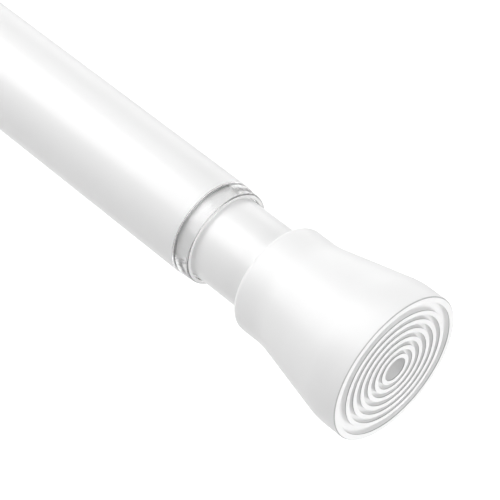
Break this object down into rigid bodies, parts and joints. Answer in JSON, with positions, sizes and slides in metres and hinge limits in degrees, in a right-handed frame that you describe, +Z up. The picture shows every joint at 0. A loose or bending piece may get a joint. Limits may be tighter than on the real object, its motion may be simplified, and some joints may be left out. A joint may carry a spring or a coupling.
{
  "type": "spring tension rod",
  "caption": "Telescoping spring tension rod: white tubes, clear mouth collar, twist lock, and flared end caps with ridged faces that press against facing walls.",
  "frame": {"origin": "centre of the fixed end cap's wall face, on the rod's axis", "axes": "+X along the rod from the fixed end to the sliding end, +Z up"},
  "size_m": [0.4, 0.033, 0.033],
  "materials": {
    "white_paint": "satin white enamel on thin steel tube",
    "white_cap": "satin white moulded soft plastic",
    "clear_plastic": "clear, glossy",
    "nylon": "natural moulded nylon",
    "zinc_steel": "bright zinc plate",
    "spring_steel": "drawn spring wire"
  },
  "bodies": {
    "outer": {"outer_tube": "white_paint", "mouth_collar": "clear_plastic", "fixed_end_cap": "white_cap"},
    "lock_ring": {"cam_ring": "nylon"},
    "plunger": {"cam_hub": "nylon", "hub_washer": "zinc_steel", "hub_screw": "zinc_steel", "push_rod": "nylon", "stop_washer": "zinc_steel", "stop_screw": "zinc_steel", "spring": "spring_steel"},
    "inner": {"inner_tube": "white_paint", "guide_bush": "nylon", "moving_end_cap": "white_cap"}
  },
  "joints": [
    {"name": "length_slide", "type": "slide", "parent": "outer", "child": "lock_ring", "axis": [1, 0, 0], "range_m": [0, 0.2]},
    {"name": "lock_twist", "type": "hinge", "parent": "lock_ring", "child": "plunger", "pos_m": [0.0797, 0, 0.00025], "axis": [1, 0, 0], "range_deg": [-60, 60]},
    {"name": "spring_stroke", "type": "slide", "parent": "plunger", "child": "inner", "axis": [1, 0, 0], "range_m": [-0.0135, 0], "stiffness_N_per_m": 2850, "springref_m": 0.008, "deforming": ["spring"]}
  ]
}
